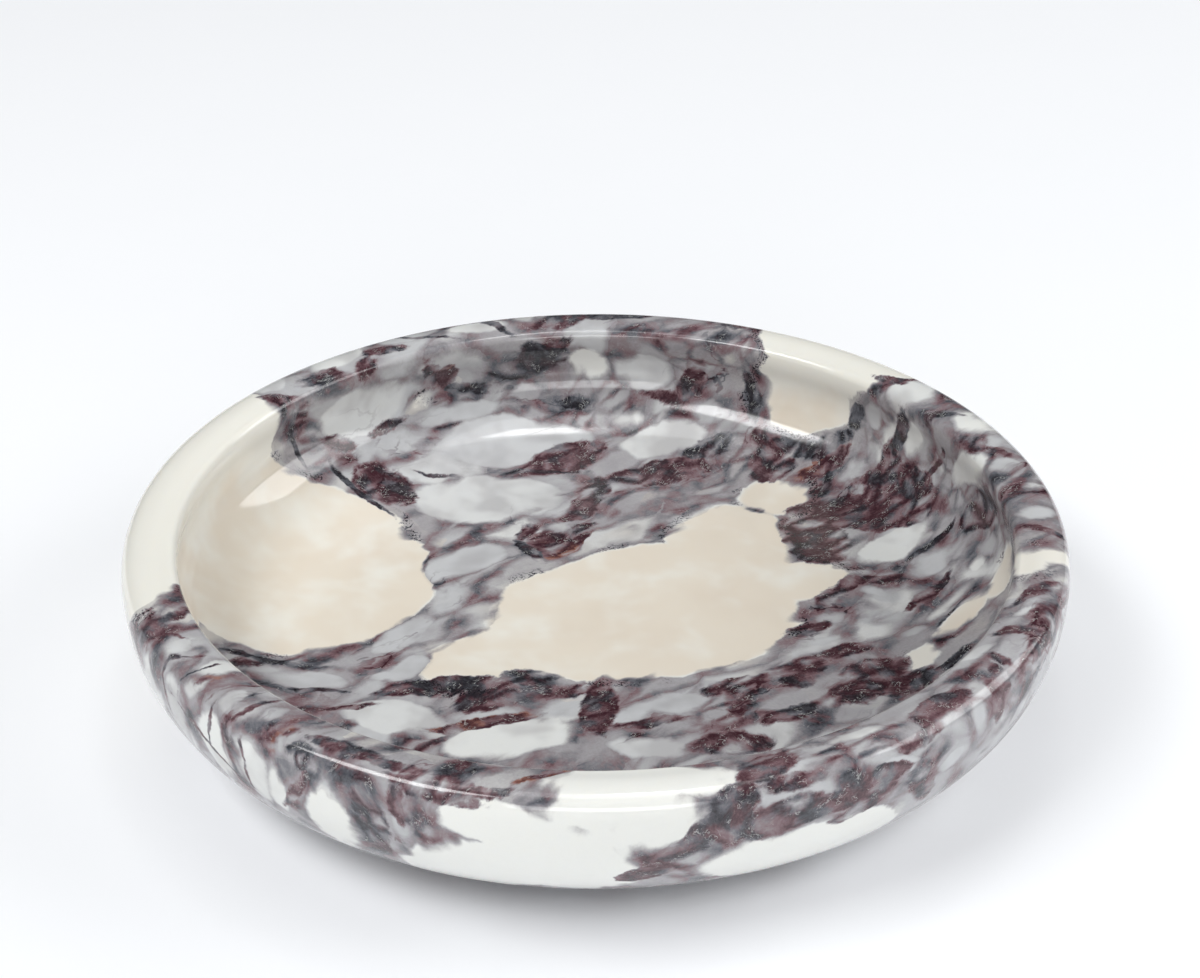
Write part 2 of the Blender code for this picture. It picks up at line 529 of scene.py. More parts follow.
# %% The clasts of one sphere
clasts_from_above = [
    # the small cream one beside the middle
    (0.12, 32, 40, 8.5, 6.5, -15),
    # floor, back
    (0.53, -19, 40.5, 15, 9, 8), (0.58, -16, 56.5, 17, 6, 6), (0.55, -8, 31.5, 4, 2.8, 20),
    (0.52, 12, 57, 10, 5, 8),
    # floor, right
    (0.50, 51.5, 22.5, 9.5, 4.8, 28), (0.85, 57, 16, 8.5, 3.4, 28), (0.80, 46, 8.8, 4.6, 2.2, -20),
    (0.60, 37.5, 3, 3.4, 2.8, 20), (0.90, 45, 43, 5, 3.2, 0), (0.85, 45.5, 35.5, 3.8, 1.8, 40),
    (0.90, 44, 31, 3.2, 1.2, 20), (0.80, 44.5, 2.5, 3.6, 1.6, 30), (0.85, 36, -4.5, 3, 1.5, 25),
    (0.85, 51, -3.5, 4, 1.8, 30), (0.30, 51.8, -11.2, 6.5, 3.3, 35),
    # floor, front
    (0.90, -47, -15.3, 8.5, 4.2, -12), (0.53, -31, -27, 11.5, 5.5, -10), (0.49, -12, -31, 12.5, 6, 12),
    (0.55, 8, -34.5, 9, 3.4, -4), (0.80, 13, -23, 6.5, 4.5, 10), (0.60, 32, -36, 9, 3.6, 20),
    # between the left and the middle cream
    (0.60, -23, 20, 10, 6, 35), (0.85, -32, -2, 9, 4.5, 50), (0.70, -30, -13, 9, 4, 25),
    # band of the rim, clockwise from the left
    (0.55, -57, 46, 5.5, 4, 45), (0.50, -46.5, 56.5, 8, 4.5, 47), (0.80, -33, 64.5, 8, 3.2, 25),
    (0.50, -22, 67.5, 8, 3.2, 15), (0.50, -13, 71, 4, 2.4, 10), (0.50, 55, 42, 6.5, 5, -50),
    (0.45, 65.5, 31, 7.5, 4.5, -62), (0.60, 67, 17, 5, 3.2, -50), (0.70, 69, 14, 3.5, 1.8, 35),
    (0.60, 70, 1.2, 5.5, 2.6, 12), (0.55, 64.8, -27.8, 4.8, 1.5, 24), (0.55, 55.5, -38.5, 6, 2, 35),
    (0.55, 54.5, -47.5, 5.5, 3.4, 40),
    # outer wall, from left to right
    (0.55, -61, -35.8, 6.5, 3, 28), (0.50, -54.8, -41.3, 6.5, 2.6, 30), (0.60, -47.5, -47.6, 6, 2.6, 35),
    (0.50, -58, -44.6, 4.8, 2.5, 30), (0.55, -51.5, -49.2, 5, 2.5, 32), (0.65, -46.5, -53.2, 4.4, 2.1, 35),
    (0.50, 36, -59, 7, 2, 25),
]

clasts_on_the_inner_wall = [
    # inner wall, from left to right
    (0.53, 128, 20.5, 11.5, 6.3, 0), (0.95, 130, 12.3, 4.5, 3.2, 0), (0.60, 112, 14.5, 10, 3, 0),
    (0.42, 91.5, 21.5, 6.4, 4.4, 15), (0.55, 82, 20.5, 7, 5.5, 10), (0.75, 72, 14.5, 6, 4, 20),
    (0.50, 85, 12.5, 6, 3, 0), (0.80, 43, 23, 3, 4.5, 10), (0.47, 34, 22, 3.6, 6, 22),
    (0.47, 20, 23.5, 4.6, 9.5, 50), (0.80, 11, 15.5, 3, 3.6, 35),
    # the sides that the picture hides
    (0.50, -55, 17, 6, 6, -30), (0.75, -72, 15, 5, 5, -35), (0.46, -90, 17, 5, 9, -60),
    (0.15, -110, 17, 8, 7, -40), (0.50, -130, 16, 5, 7, -35), (0.60, -145, 18, 4.5, 6, -35),
]

clasts_on_the_outer_wall = [
    # outer wall, from left to right
    (0.50, -153, 20.5, 5, 8.5, -6), (0.50, -145, 20.5, 5, 8.5, -6), (0.47, -137.5, 21, 4.6, 8.5, -6),
    (0.47, -131.5, 21, 4.6, 8, -6), (0.45, -128, 20, 3.2, 7, -6), (0.42, -120.3, 17, 5, 9.5, -8),
    (0.80, -112, 22, 2.4, 4.5, 0), (0.42, -67, 14.5, 21, 7.5, 5), (0.60, -56, 25, 5, 3, 10),
    (0.65, -42.3, 25.5, 3.2, 4.5, 10), (0.75, -47, 21, 2.2, 6, 62), (0.70, -33, 19.5, 2.2, 7.5, 66),
    (0.55, -22, 22.5, 3.2, 7, 62), (0.75, -24, 14, 2.4, 8, 60),
    # the sides that the picture hides
    (0.75, 5, 12, 4, 7, 35), (0.47, 19, 21, 8, 5, 30), (0.20, 29, 10, 12, 6, 20), (0.55, 41, 12, 4, 7, 40),
    (0.47, 48, 23, 5, 8, 60), (0.10, 63, 14, 14, 9, 15), (0.44, 82, 20, 8, 7, -20), (0.55, 91, 9, 9, 4, 10),
    (0.50, 101, 23, 4, 8, 60), (0.15, 118, 16, 11, 9, -15), (0.50, 134, 11, 6, 7, 30),
    (0.60, 143, 22, 5, 6, 40), (0.45, 158, 13, 6, 9, 20),
]

pale_clasts = [
    (tone, spheres(above, inside, outside, thin=False)) for tone, above, inside, outside in large_clasts
]
pale_clasts += one_by_one(
    clasts_from_above, clasts_on_the_inner_wall, clasts_on_the_outer_wall, thin=False
)
print("pale clasts:", shapes_sum(pale_clasts))

# %% [markdown]
# ### Dark masses and veins
#
# The matrix between the clasts swells into masses where several clasts meet, and thins to veins elsewhere.
# They are placed by the same rows, whose first number is a hue: 0 for slate grey, 0.5 for wine red and 1 for
# rust.

# %% The dark masses and veins
streaks_from_above = [
    # round the left cream and behind it
    (0.05, -42, 39.5, 10, 0.7, -42), (0.50, -37, 42, 6.5, 4.8, -35), (0.50, -46, 47.5, 5, 1.6, 15),
    (0.50, -5, 53.5, 8, 3.4, 28), (0.05, -9, 50, 5, 0.8, 0), (0.50, -2, 41, 7.5, 2.6, 68),
    (0.50, -4.5, 36, 4, 2.4, 20), (0.50, -13, 30.5, 2.6, 1.3, 60), (0.60, -8.5, 27.5, 4.5, 2.4, -25),
    (0.85, -5, 26.5, 6, 1.4, 45), (0.50, -3, 31.5, 3.6, 1.2, 30), (0.10, -12, 24, 4.5, 1.1, -60),
    (0.05, -28, 47.6, 3.5, 0.5, 0), (0.50, 11, 49, 10, 3.2, 12), (0.15, 20, 54, 5, 2, 20),
    # right of the middle
    (0.50, 31, 53, 4, 3.5, 60), (0.50, 31.5, 48, 4.5, 2.6, 20), (0.05, 37, 51, 7, 1.6, -30),
    (0.05, 45, 48.3, 4, 1, -20), (0.80, 40.5, 46.6, 6, 1.4, 14), (0.45, 50, 40.5, 5.5, 1, -12),
    (0.05, 41, 43, 3, 0.5, 85), (0.50, 46, 33.5, 12, 5.5, -12), (0.50, 38.5, 25.5, 5.5, 8, 8),
    (0.45, 53, 35.5, 7.5, 4.5, -35), (0.50, 53, 28.2, 7, 1.4, 2), (0.10, 57.5, 20.2, 6, 0.7, 30),
    (0.15, 62.5, 22, 3, 2, 40), (0.50, 47, 12.6, 5, 1.4, 8), (0.50, 41, 11, 4.5, 1.4, 48),
    (0.50, 38, 7.5, 3.5, 1.4, 65), (0.50, 55, 8.2, 7, 1, 44), (0.50, 34, 0, 4, 1.5, 30),
    (0.50, 40, -8, 5, 2, 20), (0.50, 44, -14, 6.5, 3, 25), (0.50, 41, -19.5, 5, 4, 30),
    (0.40, 49, -17, 5, 1.6, 35), (0.50, 33, -15, 5, 2.6, 60), (0.20, 54, -15.8, 9, 1.3, 34),
    (0.10, 57, -0.5, 3, 0.3, 50),
    # front of the floor
    (0.05, -52, -10.6, 9, 1, -5), (0.50, -54, -12.5, 2.6, 1.5, 30), (0.05, -44, -18.7, 5, 0.5, -10),
    (0.50, -39, -24.6, 5.5, 0.9, 12), (0.40, -25, -18.6, 11, 2.2, 10), (0.50, -17, -20.5, 5.5, 3.4, 25),
    (0.20, -11, -15, 4.5, 2, 15), (0.80, -17, -26.6, 8.5, 1.5, 17), (0.50, -24, -32, 3.5, 0.6, 40),
    (0.50, -4, -18.3, 6, 1.6, 8), (0.50, 0.5, -24, 3, 7, 0), (0.50, 8, -28.3, 6, 1.2, 10),
    (0.50, 20, -33, 6, 2.4, 15), (0.50, 23, -18, 7, 2.2, 20), (0.45, 30, -26, 5, 1.8, 30),
    # band of the rim, clockwise from the left
    (0.40, -54.5, 41.5, 4, 1.3, 10), (0.25, -48.5, 49.5, 4, 1.8, 40), (0.50, -41, 54, 3, 2, 50),
    (0.40, -37.5, 58.7, 5, 1.4, 22), (0.05, -30, 63.5, 5, 0.5, -5), (0.05, -18.5, 68.5, 4.5, 1, -35),
    (0.30, -6, 70.5, 6, 2.4, 15), (0.10, 4, 71.5, 6, 2, 0), (0.50, 23.5, 68, 4, 1.6, -10),
    (0.50, 51, 46, 4, 1, -28), (0.50, 54.5, 45.8, 3, 0.6, 30), (0.10, 59, 34.6, 4.5, 0.9, -12),
    (0.50, 64, 25, 3.2, 2.4, -50), (0.50, 67.5, 21, 3.2, 0.8, -60), (0.50, 69.5, 9.2, 4.8, 1.7, -5),
    (0.45, 69.8, -3.6, 4.6, 1, -30), (0.50, 66.7, -22.2, 6, 1.3, 41), (0.50, 66, -31, 5.5, 2, 62),
    (0.45, 62, -33, 4, 1.4, 10), (0.50, 60, -40.3, 2.6, 1.2, -35), (0.50, 59.5, -44, 1.2, 4, 40),
    (0.50, 49, -52, 6, 2.6, 40), (0.50, 24, -66, 6, 3, 35),
    # rim and outer wall, from left to right
    (0.50, -67.5, -31, 2.6, 2.6, 0), (0.45, -64, -28.7, 4, 1, 40), (0.50, -62.5, -33.2, 2.8, 0.35, -20),
    (0.50, -62.2, -39.4, 1.1, 0.7, 0), (0.50, -59.5, -39.2, 3, 0.25, 8), (0.20, -57.5, -42, 3.7, 0.15, 28),
    (0.95, -56.3, -43.9, 1.4, 0.6, 30), (0.50, -52.3, -46.3, 3, 0.35, 25),
    (0.50, -49.4, -51.7, 4.3, 0.5, 32), (0.60, -45, -55.5, 1.9, 0.35, 32),
    (0.80, -43.4, -57.4, 1.3, 0.8, 0), (0.15, -41, -61.2, 3, 1.2, -28), (0.35, -35, -61.5, 6, 1.3, -25),
    (0.40, -29, -65, 6, 1, -20), (0.50, -24, -68.6, 6.5, 1.3, -15), (0.45, -15, -71, 4.5, 0.7, -8),
    (0.90, -6.5, -68.6, 5.5, 0.7, 20),
]

streaks_on_the_inner_wall = [
    # inner wall, from left to right
    (0.50, 139, 24, 1.6, 3.5, 10), (0.05, 140.5, 19, 0.5, 8, -4), (0.50, 133, 10.5, 4, 2, 0),
    (0.50, 124, 15.8, 1.2, 5, 85), (0.50, 115.5, 23, 1.6, 3.6, -20), (0.70, 112.5, 21.5, 2.4, 2.6, 0),
    (0.05, 98.5, 24, 4.4, 3, 10), (0.10, 103.5, 21, 3.6, 1.8, -25), (0.10, 108, 18.2, 1, 6, 100),
    (0.50, 96.5, 26.5, 1.4, 3, 80), (0.05, 94, 15.2, 3.4, 1.4, 0), (0.50, 75, 19.5, 1.2, 5, 25),
    (0.40, 79, 15.5, 5, 1.2, 8), (0.05, 65, 18, 1.2, 6, -25), (0.05, 55.5, 12.8, 7, 1.1, 0),
    (0.05, 46.5, 20, 1.7, 7.5, 12), (0.10, 37.5, 21.5, 1.6, 6, 15), (0.50, 38.5, 17.5, 1.8, 4.5, 12),
    (0.50, 36, 13.5, 5, 2.6, 0), (0.45, 29.5, 19, 0.6, 6.5, 24), (0.25, 15.5, 19.5, 3.2, 7.5, 34),
    # the sides that the picture hides
    (0.50, -47, 15, 3, 6, -35), (0.20, -64, 17, 2, 7, -40), (0.50, -80, 16, 4, 6, -40),
    (0.50, -99, 18, 3, 7, -50), (0.10, -121, 17, 2, 7, -40), (0.50, -138, 16, 3.5, 6, -40),
]

streaks_on_the_outer_wall = [
    # rim and outer wall, from left to right
    (0.50, -157, 27, 2, 3, 0), (0.50, -147.8, 25, 0.4, 4.2, -5), (0.50, -138.2, 25, 0.4, 4.5, 3),
    (0.50, -138, 20, 0.3, 8, 112), (0.55, -134.8, 26.8, 1, 2.2, 0), (0.50, -132.6, 21.5, 0.25, 7, -3),
    (0.75, -129, 28, 1.3, 0.7, 0), (0.10, -122.8, 27, 2.6, 1.9, 20), (0.45, -124.4, 22.8, 1.1, 7, 33),
    (0.15, -115.3, 20.5, 2.4, 6.5, 0), (0.50, -112, 25, 1.6, 3.5, -10), (0.50, -108, 27.7, 8, 1, 0),
    (0.45, -83, 18, 2.5, 13, 47), (0.45, -75.5, 25.5, 3.6, 5, 30), (0.40, -62, 23.6, 13, 2.4, -4),
    (0.45, -70, 23.4, 6.5, 2.8, -12), (0.45, -60, 20.8, 6, 1.8, -12), (0.50, -68.5, 28.2, 4.5, 1.4, 0),
    (0.50, -51, 27.8, 7, 1.2, 0), (0.40, -52, 19, 2.2, 6, -35), (0.50, -38.5, 26, 1.5, 4, 10),
    (0.45, -27, 27, 9, 1.7, 0), (0.50, -15, 25.5, 8, 0.9, 14), (0.35, -3, 15, 7, 8, 0),
    (0.30, -36, 14, 9, 1.6, -28),
    # the sides that the picture hides
    (0.50, 9, 21, 4, 5, 30), (0.45, 18, 13, 1.6, 7, 50), (0.50, 39, 20, 4, 7, 40),
    (0.30, 50, 15, 1.4, 8, 60), (0.50, 73, 23, 3.5, 7, 60), (0.45, 79, 11, 2.4, 8, 40),
    (0.50, 93, 19, 3, 8, 50), (0.90, 97, 15, 1, 5, 50), (0.20, 103, 12, 8, 2.5, 20),
    (0.50, 130, 22, 5, 5, 30), (0.10, 128, 13, 1.2, 8, 45), (0.50, 148, 15, 2.6, 8, 45),
]

dark_streaks = one_by_one(
    streaks_from_above, streaks_on_the_inner_wall, streaks_on_the_outer_wall, thin=True
)
print("dark masses and veins:", shapes_sum(dark_streaks))

# %% [markdown]
# ### One shape as a node group
#
# A stretched sphere costs a few nodes: three dot products measure how far out a point is along the sphere's
# own axes, counted in its half sizes, and the length of the three together is 1 on its surface. A second
# group passes three running values from shape to shape: the distance to the nearest surface, the distance to
# the second nearest, and the tone of the nearest. The distance is only right near a surface, which is where
# it matters. A Mapping node would be shorter to write, but a shader with hundreds of them is too big to run.


# %% The two groups
def value_mix(tree, share, first, second):
    """The first value where the share is 0, the second where it is 1."""
    return put(tree, "ShaderNodeMix", {0: share, 2: first, 3: second}, data_type="FLOAT").outputs[0]


axis_names = ("Long axis", "Cross axis", "Third axis")


def stretched_sphere_group():
    """Distance in mm from a point to the surface of one stretched sphere, negative inside.
    Each axis is a unit vector divided by the sphere's half size that way."""
    takes = dict.fromkeys(("Point", "Middle", *axis_names), "Vector")
    takes["Reach"] = "Float"
    tree, given = new_tree("stretched_sphere", "ShaderNodeTree", takes, {"Distance": "Float"})
    away = vectors(tree, "SUBTRACT", given["Point"], given["Middle"])
    shares = {
        letter: vector_number(tree, "DOT_PRODUCT", away, given[axis])
        for letter, axis in zip("XYZ", axis_names)
    }
    in_half_sizes = put(tree, "ShaderNodeCombineXYZ", shares)
    beyond = maths(tree, "SUBTRACT", vector_number(tree, "LENGTH", in_half_sizes), 1.0)
    put(tree, "NodeGroupOutput", {"Distance": maths(tree, "MULTIPLY", beyond, given["Reach"])})
    lay_out(tree)
    return tree


running_values = {"Nearest": "Float", "Second": "Float", "Tone": "Float"}


def nearest_group():
    """Takes one more shape into the running nearest, second nearest and tone."""
    tree, given = new_tree(
        "nearest_clast",
        "ShaderNodeTree",
        {**running_values, "Distance": "Float", "Own tone": "Float"},
        running_values,
    )
    closer = maths(tree, "LESS_THAN", given["Distance"], given["Nearest"])
    beaten = maths(tree, "MAXIMUM", given["Nearest"], given["Distance"])
    put(
        tree,
        "NodeGroupOutput",
        {
            "Nearest": maths(tree, "MINIMUM", given["Nearest"], given["Distance"]),
            "Second": maths(tree, "MINIMUM", given["Second"], beaten),
            "Tone": value_mix(tree, closer, given["Tone"], given["Own tone"]),
        },
    )
    lay_out(tree)
    return tree


stretched_sphere = stretched_sphere_group()
nearest_clast = nearest_group()
print("nodes in the two groups:", len(stretched_sphere.nodes), "and", len(nearest_clast.nodes))

# %% The chain of shapes
far_away = 99.0
middle_tone = 0.5


def sphere_distance(tree, point, middle, axes, half_size):
    """One stretched sphere, from its middle, its three axes and its half size along each."""
    sockets = {"Point": point, "Middle": middle, "Reach": math.sqrt(half_size[0] * half_size[1])}
    for name, axis, half in zip(axis_names, axes.col, half_size):
        sockets[name] = axis / half
    return put(tree, "ShaderNodeGroup", sockets, node_tree=stretched_sphere).outputs[0]


def shape_field(name, shapes):
    """A group that gives, for a point in mm, the nearest shape, the second nearest and the tone."""
    tree, given = new_tree(name, "ShaderNodeTree", {"Point": "Vector"}, running_values)
    running = {"Nearest": far_away, "Second": far_away, "Tone": middle_tone}
    for own_tone, parts in shapes:
        distances = [sphere_distance(tree, given["Point"], *part) for part in parts]
        distance = distances[0]
        for other in distances[1:]:
            distance = maths(tree, "MINIMUM", distance, other)
        sockets = {**running, "Distance": distance, "Own tone": own_tone}
        step = put(tree, "ShaderNodeGroup", sockets, node_tree=nearest_clast)
        running = {value: step.outputs[value] for value in running_values}
    put(tree, "NodeGroupOutput", running)
    lay_out(tree)
    return tree


clast_field = shape_field("pale_clasts", pale_clasts)
streak_field = shape_field("dark_streaks", dark_streaks)
print("nodes in the two chains:", len(clast_field.nodes), "and", len(streak_field.nodes))

# %% [markdown]
# ### Noise and soft steps
#
# The stone's shader is a long sum of small ideas, each of them a few words: a soft step, a mix, a cloud of
# noise with features of a known size, a point that noise has pushed about. As functions they keep the shader
# short enough to read. Their sizes are in millimetres.

# %% Helpers for the shaders
bump_height = 0.05 * MM


def soft_step(tree, value, low, high):
    """0 below low, 1 above high and smooth between; low may also be the larger of the two."""
    return put(
        tree,
        "ShaderNodeMapRange",
        {"Value": value, "From Min": low, "From Max": high},
        interpolation_type="SMOOTHSTEP",
    ).outputs[0]


def colour_mix(tree, share, first, second):
    """The first colour where the share is 0, the second where it is 1."""
    return put(tree, "ShaderNodeMix", {0: share, 6: first, 7: second}, data_type="RGBA").outputs[2]


def product(tree, *values):
    """All the values multiplied together."""
    result = values[0]
    for value in values[1:]:
        result = maths(tree, "MULTIPLY", result, value)
    return result


def without(tree, value, share):
    """The value, less a share of it."""
    return product(tree, value, maths(tree, "SUBTRACT", 1.0, share))


def spread(tree, point, seed, step):
    """The point moved by a step for each seed, so that no two patterns are alike."""
    return vectors(tree, "ADD", point, tuple(seed * part for part in step))


def cloud(tree, point, size, seed, detail=2.0, roughness=0.5):
    """Noise with features of one size: its value and its colour, both about 0.5 on average."""
    shifted = spread(tree, point, seed, (31.7, -17.3, 11.9))
    noise = put(
        tree,
        "ShaderNodeTexNoise",
        {"Vector": shifted, "Scale": 1.0 / size, "Detail": detail, "Roughness": roughness},
    )
    return noise.outputs[0], noise.outputs[1]


def cloud_step(tree, point, size, seed, low, high, **settings):
    """A soft step on a cloud's value, which makes patches."""
    return soft_step(tree, cloud(tree, point, size, seed, **settings)[0], low, high)


def warped(tree, point, size, reach, seed, detail=1.0):
    """Pushes the point about by noise, by up to about half of reach each way."""
    push = cloud(tree, point, size, seed, detail)[1]
    centred = vectors(tree, "SUBTRACT", push, (0.5, 0.5, 0.5))
    return vectors(tree, "MULTIPLY_ADD", centred, (2 * reach, 2 * reach, 2 * reach), point)


def new_material(name):
    """An empty material, its tree, and the place on the piece in mm."""
    material = bpy.data.materials.new(name)
    material.use_nodes = True
    tree = material.node_tree
    tree.nodes.clear()
    place = put(tree, "ShaderNodeTexCoord").outputs["Object"]
    point = put(tree, "ShaderNodeVectorMath", {0: place, "Scale": 1.0 / MM}, operation="SCALE").outputs[0]
    return material, tree, point


def fine_bump(tree, strength, height):
    """A bump on the scale of a polish."""
    return put(
        tree, "ShaderNodeBump", {"Strength": strength, "Distance": bump_height, "Height": height}
    )


def principled(tree, looks):
    """The Principled shader, with these values or links on its sockets."""
    return put(tree, "ShaderNodeBsdfPrincipled", looks)


def surface(tree, shader):
    """Ends a material's tree in its shader."""
    put(tree, "ShaderNodeOutputMaterial", {"Surface": shader})
    lay_out(tree)


# %% [markdown]
# ### Crushed stone between the clasts
#
# Between the placed clasts the same rock is crushed finer. A Voronoi texture suits these small pieces: its
# cells are about one size, each gets its own random tone, and the distance to the cell's edge leaves a vein
# round it. The cells are squeezed along the same heading as everything else. Two sizes of cell take turns.

# %% Crushed grains
least_random_tone = 0.46


def along_the_flow(tree, point, length, width, height):
    """The point in a frame that points along the flow, counted in grains."""
    return put(
        tree,
        "ShaderNodeMapping",
        {
            "Vector": point,
            "Rotation": (0.0, 0.0, math.radians(flow_heading)),
            "Scale": (length, width, height),
        },
        vector_type="TEXTURE",
    ).outputs[0]


def crushed_grains(tree, stone, width, seed, vein, vein_share, paleness):
    """Small random clasts, width mm wide. The last three are pairs, each a range from one end to the
    other: the vein's width and its share, by how strong the veins are, and how pale the grains are."""
    shifted = spread(tree, stone.torn, seed, (23.1, 41.3, 7.7))
    local = along_the_flow(tree, shifted, 2.3 * width, width, 1.2 * width)
    sockets = {"Vector": local, "Scale": 1.0}
    cells = put(tree, "ShaderNodeTexVoronoi", sockets, feature="F1")
    borders = put(tree, "ShaderNodeTexVoronoi", sockets, feature="DISTANCE_TO_EDGE")
    level, tone, _ = put(tree, "ShaderNodeSeparateXYZ", {0: cells.outputs["Color"]}).outputs
    border = maths(tree, "MULTIPLY", borders.outputs["Distance"], width)
    veined = soft_step(tree, border, value_mix(tree, stone.strength, *vein), 0.0)
    veined = product(tree, veined, value_mix(tree, stone.strength, *vein_share))
    pale = without(tree, value_mix(tree, level, *paleness), veined)
    return SimpleNamespace(border=border, level=level, tone=tone, pale=pale)


def crushed_stone(tree, stone):
    """The paleness and the tone of grains of two sizes, and the small grains by themselves."""
    medium = crushed_grains(
        tree, stone, width=7.5, seed=1.0, vein=(1.3, 3.0), vein_share=(0.4, 0.85), paleness=(0.56, 0.9)
    )
    small = crushed_grains(
        tree, stone, width=3.0, seed=2.0, vein=(0.7, 1.3), vein_share=(0.45, 0.85), paleness=(0.46, 0.8)
    )
    finer = cloud_step(tree, stone.bent, size=16.0, seed=7.0, low=0.5, high=0.64)
    pale = value_mix(tree, finer, medium.pale, small.pale)
    tone = value_mix(tree, finer, medium.tone, small.tone)
    tone = maths(tree, "MULTIPLY_ADD", tone, 1.0 - least_random_tone, least_random_tone)
    return pale, tone, small


# %% [markdown]
# ### Paleness, one number for the whole pattern
#
# One number, paleness, runs from the dark matrix to the middle of a clast. Placed clasts lie over the random
# ones, with a border that is sharp here and smeared there. Placed masses and veins cut through all of it,
# and ghosts of small clasts are left inside them. Streaks along the flow and a fine grain are strongest in
# the matrix. Then come hairlines in the greyer clasts, and soot along the borders of the cream ones.


# %% What every layer reads
def stone_fields(tree, point):
    """The pushed points, the noises and the placed shapes, by name."""
    pushed = warped(tree, point, size=20.0, reach=3.2, seed=1.0)
    bent = warped(tree, pushed, size=6.0, reach=1.1, seed=2.0)
    torn = warped(tree, bent, size=1.3, reach=0.42, seed=3.0, detail=3.0)
    streaky = along_the_flow(tree, torn, 1.9, 1.0, 1.2)
    clasts = put(tree, "ShaderNodeGroup", {"Point": torn}, node_tree=clast_field).outputs
    streaks = put(tree, "ShaderNodeGroup", {"Point": torn}, node_tree=streak_field).outputs
    return SimpleNamespace(
        point=point,
        height=put(tree, "ShaderNodeSeparateXYZ", {0: point}).outputs[2],
        pushed=pushed,
        bent=bent,
        torn=torn,
        streaky=streaky,
        nearest=clasts["Nearest"],
        second=clasts["Second"],
        tone=clasts["Tone"],
        depth=maths(tree, "MULTIPLY", clasts["Nearest"], -1.0),
        creamy=soft_step(tree, clasts["Tone"], 0.45, 0.15),
        dark=streaks["Nearest"],
        hue=streaks["Tone"],
        strength=cloud_step(tree, streaky, size=6.0, seed=4.0, low=0.44, high=0.68),
        middling=cloud(tree, streaky, size=1.5, seed=5.0, detail=3.0, roughness=0.6)[0],
        fine=cloud(tree, torn, size=0.45, seed=6.0, roughness=0.65)[0],
    )


# %% The layers of paleness
# How far in a border fades, in mm: in a clean clast, in a clean cream one, and where it is smeared
clean_fade, cream_fade, smeared_fade = 2.2, 1.4, 5.0
ragged_reach = 1.2
# The second value is painted light: it makes masses paler on the outer wall, which is lit more brightly
mass_paleness, outer_wall_painted_light = 0.06, 0.07
streak_reach, grain_reach = 0.13, 0.15
calm_share = 0.8


def placed_clasts(tree, stone, random_pale):
    """The placed clasts over the random ones, with a soft vein where two of them press on each other."""
    clean = value_mix(tree, stone.creamy, clean_fade, cream_fade)
    fade = value_mix(tree, stone.strength, clean, smeared_fade)
    placed = product(tree, soft_step(tree, stone.depth, -0.4, fade), value_mix(tree, stone.tone, 1.0, 0.82))
    apart = maths(tree, "SUBTRACT", stone.second, stone.nearest)
    seam = product(
        tree,
        soft_step(tree, apart, 2.2, 0.0),
        soft_step(tree, stone.depth, -1.0, 0.5),
        value_mix(tree, stone.strength, 0.2, 0.75),
    )
    return without(tree, maths(tree, "MAXIMUM", placed, random_pale), seam)


def cut_by_streaks(tree, stone, small, pale):
    """The placed masses and veins. A mass is a little paler towards the outer wall: painted light that
    stands in for the brighter light on that wall.
    """
    inward = maths(tree, "SUBTRACT", stone.dark, ragged_reach)
    ragged = maths(tree, "MULTIPLY_ADD", stone.middling, 2.0 * ragged_reach, inward)
    cut = soft_step(tree, ragged, value_mix(tree, stone.strength, 0.5, 1.1), -0.55)
    ghost = product(
        tree,
        value_mix(tree, small.level, 0.12, 0.68),
        soft_step(tree, small.border, 0.0, 1.2),
        value_mix(tree, stone.middling, 0.5, 1.5),
        value_mix(tree, soft_step(tree, stone.dark, -1.5, -4.5), 1.0, 0.35),
    )
    # Painted light: masses grow paler towards the outer wall, which is lit more brightly
    outer = soft_step(tree, vector_number(tree, "LENGTH", stone.point), outer_start, outer_end)
    mass = maths(tree, "MULTIPLY_ADD", outer, outer_wall_painted_light, maths(tree, "ADD", ghost, mass_paleness))
    return value_mix(tree, cut, pale, mass)


def about_zero(tree, noise, reach):
    """Noise that goes up to about reach each way from zero."""
    return maths(tree, "MULTIPLY_ADD", noise, 2.0 * reach, -reach)


def grained(tree, stone, pale):
    """Streaks along the flow and a fine grain; a pure clast lacks most of both."""
    shown = maths(tree, "MULTIPLY_ADD", pale, -calm_share, 1.0)
    pale = maths(tree, "MULTIPLY_ADD", about_zero(tree, stone.middling, streak_reach), shown, pale)
    return maths(tree, "MULTIPLY_ADD", about_zero(tree, stone.fine, grain_reach), shown, pale)


def hairlines(tree, stone):
    """Where the noise crosses its middle value, a thread wanders."""
    wave = cloud(tree, stone.streaky, size=7.0, seed=8.0, detail=4.0)[0]
    ridge = maths(tree, "ABSOLUTE", maths(tree, "SUBTRACT", wave, 0.5))
    return product(
        tree,
        soft_step(tree, ridge, 0.02, 0.004),
        cloud_step(tree, stone.pushed, size=15.0, seed=9.0, low=0.52, high=0.66),
        soft_step(tree, stone.tone, 0.44, 0.6),
    )


def soot_specks(tree, stone):
    """Soot is peppered along the borders of the cream clasts in places."""
    from_border = maths(tree, "ABSOLUTE", maths(tree, "ADD", stone.nearest, 0.3))
    return product(
        tree,
        soft_step(tree, from_border, 1.5, 0.2),
        soft_step(tree, stone.fine, 0.5, 0.6),
        cloud_step(tree, stone.bent, size=9.0, seed=10.0, low=0.48, high=0.58),
        stone.creamy,
    )


# Painted light: masses grow paler between these radii, for the brighter light on the outer wall
outer_start = outer_radius / MM - 4.0
outer_end = outer_radius / MM + 2.0
print(f"masses grow paler from {outer_start:.0f} to {outer_end:.0f} mm from the middle")
